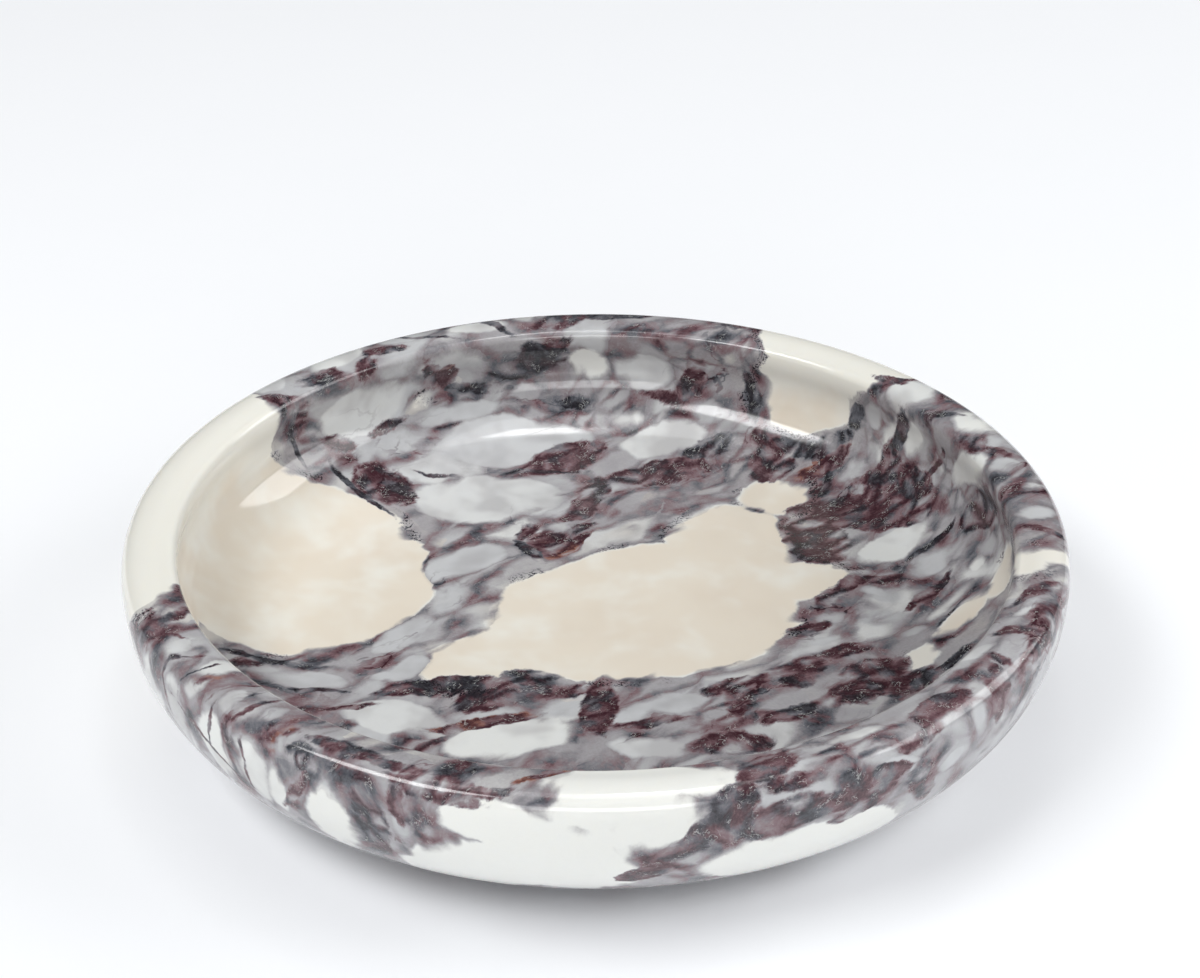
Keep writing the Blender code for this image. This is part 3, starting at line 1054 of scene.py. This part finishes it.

# %% [markdown]
# ### From paleness to colour
#
# A few mixes turn paleness into wine red or slate, rose grey, lilac grey and then the clast's own colour.
# That gives every clast the soft, half-transparent border that real marble has. The cream is warm in some
# clouds and pearly in others. Near the rim it is paler and more pearly still: a painted sheen for the light
# that the polished rim catches. In the dark matrix sit crystals: round specks and short jagged threads.
# Their white is partly their own colour and partly a painted sparkle.

# %% The colours by place
# Painted sheen: from these heights in mm up, the cream turns paler and pearly
rim_sheen_start, rim_sheen_end = 16.0, 28.0
peach_share, frost_share = 0.7, 0.45


def clast_colour(tree, stone, random_tone):
    """The colour of the middle of a clast, by its own tone."""
    own_tone = value_mix(tree, soft_step(tree, stone.depth, -0.4, 2.2), random_tone, stone.tone)
    milky = colour_mix(tree, soft_step(tree, own_tone, 0.1, 0.5), CREAM, MILK)
    body = colour_mix(tree, soft_step(tree, own_tone, 0.43, 0.62), milky, CLOUD)
    warm = cloud_step(tree, stone.pushed, size=15.0, seed=11.0, low=0.38, high=0.72)
    body = colour_mix(tree, product(tree, warm, stone.creamy, peach_share), body, PEACH)
    cool = cloud(tree, stone.pushed, size=8.0, seed=15.0)[0]
    # Painted sheen: the cream turns paler and more pearly towards the rim, by height alone
    high = soft_step(tree, stone.height, rim_sheen_start, rim_sheen_end)
    pearl_and_rim_sheen = soft_step(tree, maths(tree, "MULTIPLY_ADD", high, 0.6, cool), 0.4, 0.9)
    body = colour_mix(tree, product(tree, pearl_and_rim_sheen, stone.creamy), body, PEARL_AND_SHEEN)
    frosty = soft_step(tree, cool, 0.4, 0.66)
    greyish = soft_step(tree, own_tone, 0.42, 0.5)
    return colour_mix(tree, product(tree, frosty, greyish, frost_share), body, HAZE)


def matrix_colours(tree, stone, soot):
    """The matrix is wine red, slate or rust by turns: its deepest colour, and the one half way up."""
    patches = cloud_step(
        tree, stone.bent, size=3.5, seed=12.0, low=0.36, high=0.62, detail=3.0, roughness=0.6
    )
    free_hue = product(tree, patches, 0.5)
    from_row = maths(tree, "MULTIPLY_ADD", stone.hue, 0.8, -0.25)
    placed_hue = maths(tree, "MULTIPLY_ADD", free_hue, 0.9, from_row)
    hue = value_mix(tree, soft_step(tree, stone.dark, 2.0, 0.3), free_hue, placed_hue)
    hue = value_mix(tree, soot, hue, 0.0)
    red = soft_step(tree, hue, 0.05, 0.5)
    rusty = soft_step(tree, hue, 0.6, 0.9)
    half_way = colour_mix(tree, rusty, colour_mix(tree, red, STEEL, ROSE_GREY), RUST)
    return colour_mix(tree, red, SLATE, WINE), half_way


def crystal_specks_and_sparkle(tree, stone, pale):
    """How much a crystal shows at a place, in patches and only where the stone is dark. Its white is
    partly the crystal's own colour and partly a painted sparkle.
    """
    specks = put(tree, "ShaderNodeTexVoronoi", {"Vector": stone.torn, "Scale": 1.4}, feature="F1")
    wave = cloud(tree, stone.streaky, size=0.7, seed=16.0, detail=3.0)[0]
    thread = maths(tree, "ABSOLUTE", maths(tree, "SUBTRACT", wave, 0.5))
    found = maths(
        tree,
        "MAXIMUM",
        soft_step(tree, specks.outputs["Distance"], 0.22, 0.1),
        soft_step(tree, thread, 0.03, 0.0),
    )
    patches = cloud_step(tree, stone.bent, size=2.0, seed=13.0, low=0.5, high=0.64)
    return product(tree, found, soft_step(tree, pale, 0.5, 0.1), patches)


# %% [markdown]
# ### The polish
#
# The polish is one low roughness, a little higher in the matrix, where softer minerals polish worse, and
# high on the honed base. A little light goes under the surface before it comes back, as in all marble.

# %% The stone's material
# Where paleness passes from the deep colour to half way, from there to haze, and from haze to the clast
deep_to_half, half_to_haze, haze_to_clast = (0.0, 0.32), (0.2, 0.62), (0.45, 0.95)
# The crystals' white share is partly their own colour and partly a painted sparkle
hairline_dark, soot_dark, crystal_and_sparkle_share = 0.25, 0.55, 0.42
clast_roughness, matrix_roughness, honed_roughness = 0.08, 0.15, 0.45
honed_end = base_height / MM + 0.05
honed_start = base_height / MM + 0.2


def marble_material():
    material, tree, point = new_material("veined_marble")
    stone = stone_fields(tree, point)
    random_pale, random_tone, small = crushed_stone(tree, stone)
    pale = placed_clasts(tree, stone, random_pale)
    pale = grained(tree, stone, cut_by_streaks(tree, stone, small, pale))
    pale = maths(tree, "MULTIPLY_ADD", hairlines(tree, stone), -hairline_dark, pale)
    soot = soot_specks(tree, stone)
    pale = maths(tree, "MULTIPLY_ADD", soot, -soot_dark, pale, clamp=True)

    deep, half_way = matrix_colours(tree, stone, soot)
    colour = colour_mix(tree, soft_step(tree, pale, *deep_to_half), deep, half_way)
    colour = colour_mix(tree, soft_step(tree, pale, *half_to_haze), colour, HAZE)
    body = clast_colour(tree, stone, random_tone)
    colour = colour_mix(tree, soft_step(tree, pale, *haze_to_clast), colour, body)
    # White crystal specks: partly their own colour, partly a painted sparkle
    crystals_and_painted_sparkle = product(tree, crystal_specks_and_sparkle(tree, stone, pale), crystal_and_sparkle_share)
    colour = colour_mix(tree, crystals_and_painted_sparkle, colour, MILK)

    honed = soft_step(tree, stone.height, honed_start, honed_end)
    grit = cloud(tree, point, size=0.35, seed=14.0, detail=1.0)[0]
    polish = value_mix(tree, pale, matrix_roughness, clast_roughness)
    looks = {
        "Base Color": colour,
        "Roughness": value_mix(tree, honed, polish, honed_roughness),
        "IOR": 1.49,
        "Subsurface Weight": 0.2,
        "Subsurface Radius": (1.0, 0.9, 0.75),
        "Subsurface Scale": 2.0 * MM,
        "Normal": fine_bump(tree, value_mix(tree, pale, 0.08, 0.0), grit),
    }
    surface(tree, principled(tree, looks))
    return material


marble = marble_material()
print("stone shader:", len(marble.node_tree.nodes), "nodes in its own tree")

# %% [markdown]
# ## Turning the stone
#
# The finished mesh must be one closed skin with its faces outwards, so its volume is measured: it comes out
# negative if the shape is inside out.

# %% Turn the bowl
steps_round = 360

bowl = plain_mesh(on_the_lathe("marble_bowl", section, steps_round, marble), "marble_bowl")
report(bowl)
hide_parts("stone_bowl")
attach(bowl, "root")

# %% [markdown]
# ## The stick-on pads
#
# Stone slides and scratches, so such bowls stand on four small moulded discs of clear silicone. A pad is
# turned by the same tree from a section of its own, and a second tree sets the copies round a circle. The
# copies are made real at its end, because an exported model has no instances.

# %% Silicone and its adhesive
CLEAR_SILICONE = linear(226, 230, 230)
DUSTY_SILICONE = linear(204, 209, 210)
FRESH_ADHESIVE = linear(214, 210, 196)
AGED_ADHESIVE = linear(196, 190, 172)


def silicone_material():
    material, tree, point = new_material("clear_silicone")
    dusty = cloud(tree, point, size=1.4, seed=1.0, detail=3.0)[0]
    looks = {
        "Base Color": colour_mix(tree, dusty, CLEAR_SILICONE, DUSTY_SILICONE),
        "Roughness": value_mix(tree, dusty, 0.28, 0.46),
        "IOR": 1.41,
        "Transmission Weight": 0.55,
        "Normal": fine_bump(tree, 0.2, cloud(tree, point, size=0.3, seed=2.0)[0]),
    }
    surface(tree, principled(tree, looks))
    return material


def adhesive_material():
    material, tree, point = new_material("adhesive_film")
    bubbles = cloud(tree, point, size=0.6, seed=3.0)[0]
    looks = {
        "Base Color": colour_mix(tree, bubbles, FRESH_ADHESIVE, AGED_ADHESIVE),
        "Roughness": value_mix(tree, bubbles, 0.4, 0.6),
        "IOR": 1.47,
        "Transmission Weight": 0.3,
    }
    surface(tree, principled(tree, looks))
    return material


silicone = silicone_material()
adhesive = adhesive_material()
print("pad materials:", silicone.name, "and", adhesive.name)


# %% A tree that sets copies round a circle
def ring_tree():
    tree, given = new_tree(
        "set_round_a_circle",
        "GeometryNodeTree",
        {
            "One": "Geometry",
            "Copies": "Int",
            "Circle radius": "Float",
            "First angle": "Float",
            "Finish": "Material",
        },
        {"All": "Geometry"},
    )
    tree.is_modifier = True
    sockets = {"Vertices": given["Copies"], "Radius": given["Circle radius"]}
    circle = put(tree, "GeometryNodeMeshCircle", sockets)
    angles = put(tree, "ShaderNodeCombineXYZ", {"Z": given["First angle"]})
    turned = put(tree, "GeometryNodeTransform", {"Geometry": circle, "Rotation": angles})
    copies = put(tree, "GeometryNodeInstanceOnPoints", {"Points": turned, "Instance": given["One"]})
    real_mesh_out(tree, copies, given["Finish"], "All")
    return tree


ring = ring_tree()
print("ring tree:", len(ring.nodes), "nodes")

# %% Four pads on a circle
pad_names = ["foot_pad_1", "foot_pad_2", "foot_pad_3", "foot_pad_4"]
pad_middle = (pad_low + pad_high) / 2.0
pad_circle_radius = math.hypot(pad_middle.x, pad_middle.y)
pad_radius = (pad_high.x - pad_low.x) / 2.0
pad_edge_round = 0.7 * MM
pad_top_ease = 0.15 * MM
pad_steps_round = 72
pad_edge_steps = 10
pad_ease_steps = 3
pad_face_steps = 6


def ringed_piece(name, points, finish):
    """Turns one small section, then sets a copy at each pad's place."""
    chain = on_the_lathe(name, points, pad_steps_round, finish)
    add_tree(
        chain,
        ring,
        {
            "Copies": len(pad_names),
            "Circle radius": pad_circle_radius,
            "First angle": math.atan2(pad_middle.y, pad_middle.x),
            "Finish": finish,
        },
    )
    return plain_mesh(chain, name)


pad_reach = round_share * pad_edge_round
side_end = (pad_radius, pad_edge_round)
face_start = (pad_radius - pad_edge_round, 0.0)
pad_section = [(0.0, pad_top)]
pad_section += straight_points(pad_section[-1], (pad_radius - pad_top_ease, pad_top), pad_face_steps)
pad_section += straight_points(pad_section[-1], (pad_radius, pad_top - pad_top_ease), pad_ease_steps)
pad_section += curve_points(
    side_end,
    beside(side_end, 0.0, -pad_reach),
    beside(face_start, pad_reach, 0.0),
    face_start,
    pad_edge_steps,
)
pad_section += straight_points(pad_section[-1], (0.0, 0.0), pad_face_steps)
pads = ringed_piece("anti_slip_pads", pad_section, silicone)
report(pads)
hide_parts(*pad_names)
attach(pads, "root")

# %% The adhesive between pad and stone
film_clearance = 0.01 * MM
film_radius = pad_radius - 0.3 * MM
film_low = pad_top + film_clearance
film_high = base_height - film_clearance

film_section = [(0.0, film_high), (film_radius, film_high), (film_radius, film_low), (0.0, film_low)]
film = ringed_piece("pad_adhesive", film_section, adhesive)
report(film)
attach(film, "root")

# %% [markdown]
# ## Floor, light and camera
#
# The bowl stands on a pale table in plain soft light, as in a product picture. The table's white comes from
# a glow that only the camera and reflections see, away from the bowl's foot, so it throws no light on the
# stone and the soft shadow stays.

# %% The floor
floor_gap = 0.02 * MM
table_radius = 2.5
table_sides = 128
fleck_size = 25.0
glow_start, glow_end = 57.0, 66.0
glow_share = 0.42
TABLE = linear(247, 249, 252)
TABLE_FLECKS = linear(249, 251, 254)
TABLE_GLOW = linear(250, 252, 255)


def floor_material():
    material, tree, point = new_material("pale_table")
    faint = put(tree, "ShaderNodeTexNoise", {"Vector": point, "Scale": 1.0 / fleck_size, "Detail": 2.0})
    looks = {
        "Base Color": colour_mix(tree, faint, TABLE, TABLE_FLECKS),
        "Roughness": 0.6,
        "Specular IOR Level": 0.2,
    }
    white = put(tree, "ShaderNodeEmission", {"Color": TABLE_GLOW, "Strength": 1.0})
    path = put(tree, "ShaderNodeLightPath").outputs
    seen = maths(tree, "MAXIMUM", path["Is Camera Ray"], path["Is Glossy Ray"])
    seen = maths(tree, "MAXIMUM", seen, path["Is Transmission Ray"])
    away = soft_step(tree, vector_number(tree, "LENGTH", point), glow_start, glow_end)
    share = product(tree, seen, away, glow_share)
    surface(tree, put(tree, "ShaderNodeMixShader", {0: share, 1: principled(tree, looks), 2: white}))
    return material


floor_mesh = bpy.data.meshes.new("table_top")
floor_shape = bmesh.new()
bmesh.ops.create_circle(floor_shape, cap_ends=True, segments=table_sides, radius=table_radius)
floor_shape.to_mesh(floor_mesh)
floor_shape.free()
floor_mesh.materials.append(floor_material())
floor = bpy.data.objects.new("table_top", floor_mesh)
bpy.context.scene.collection.objects.link(floor)
floor.location.z = -floor_gap
print(f"the table top lies {floor_gap / MM:.2f} mm below the pads")

# %% [markdown]
# ### Light
#
# The light is kept at the level where a colour renders about as it is written: the world gives an even part
# of it, and five softboxes the rest. Polished stone mirrors what is behind it when it is seen at a slant, so
# the world is dimmer there than on the camera's side. The lamps show as highlights, so they hang where those
# highlights ask for them, and the small one makes the long glint inside the bowl.

# %% The lights
world_behind, world_in_front = 0.55, 1.2
bowl_foot = (0.0, 0.0, 0.0)

# Name, place, what it faces, width, depth and watts
softboxes = [
    ("overhead", (0.0, 0.10, 1.10), bowl_foot, 0.62, 0.50, 2.3),
    ("left", (-0.575, -0.32, 0.94), bowl_foot, 0.66, 0.34, 8.2),
    ("right", (1.00, 0.10, 0.60), bowl_foot, 0.90, 0.70, 9.0),
    ("front", (0.05, -1.45, 0.40), (0.0, 0.0, 0.02), 1.10, 0.50, 8.5),
    ("glint", (0.075, 0.20, 0.85), bowl_foot, 0.14, 0.10, 0.4),
]


def softbox(name, place, target, width, depth, power):
    """A rectangular lamp that faces its target; power is in watts."""
    lamp = bpy.data.lights.new(name, "AREA")
    lamp.shape = "RECTANGLE"
    lamp.size = width
    lamp.size_y = depth
    lamp.energy = power
    made = bpy.data.objects.new(name, lamp)
    made.location = place
    made.rotation_euler = (Vector(target) - Vector(place)).to_track_quat("-Z", "Y").to_euler()
    bpy.context.scene.collection.objects.link(made)


world = bpy.data.worlds.new("even_light")
world.use_nodes = True
bpy.context.scene.world = world
towards = put(world.node_tree, "ShaderNodeTexCoord").outputs["Generated"]
depthwise = put(world.node_tree, "ShaderNodeSeparateXYZ", {0: towards}).outputs["Y"]
behind = {"Value": depthwise, "From Min": 0.5, "To Min": world_behind}
in_front = {"From Max": -0.6, "To Max": world_in_front}
brightness = put(world.node_tree, "ShaderNodeMapRange", {**behind, **in_front}).outputs[0]
world.node_tree.links.new(brightness, world.node_tree.nodes["Background"].inputs["Strength"])

for row in softboxes:
    softbox(*row)
print(len(softboxes), "softboxes,", round(sum(row[-1] for row in softboxes), 1), "W in all")

# %% [markdown]
# ### Camera
#
# The camera stands where the photograph was taken from. Its place and its three turns were fitted to the
# outline of the bowl. A camera that isn't turned looks straight down, so 90 degrees make it level.

# %% The camera
photo_width = 1200
focal_pixels = 2666.4
sensor_width = 36.0
nearest_seen, farthest_seen = 0.01, 20.0
camera_place = Vector((0.0, -0.36425, 0.24663))
level = math.radians(90.0)
pitch_down = math.radians(30.246)
pan_right = math.radians(0.111)
roll = math.radians(-0.171)

camera_turn = (
    Matrix.Rotation(-pan_right, 4, "Z")
    @ Matrix.Rotation(level - pitch_down, 4, "X")
    @ Matrix.Rotation(roll, 4, "Z")
)

lens = bpy.data.cameras.new("product_camera")
lens.sensor_width = sensor_width
lens.lens = focal_pixels / photo_width * sensor_width
lens.clip_start = nearest_seen
lens.clip_end = farthest_seen
camera = bpy.data.objects.new("product_camera", lens)
camera.matrix_world = Matrix.Translation(camera_place) @ camera_turn
bpy.context.scene.collection.objects.link(camera)
bpy.context.scene.camera = camera
bpy.context.scene.view_settings.view_transform = "Standard"
print(f"lens {lens.lens:.2f} mm, camera {camera_place.length * 1000:.0f} mm from the bowl's foot")
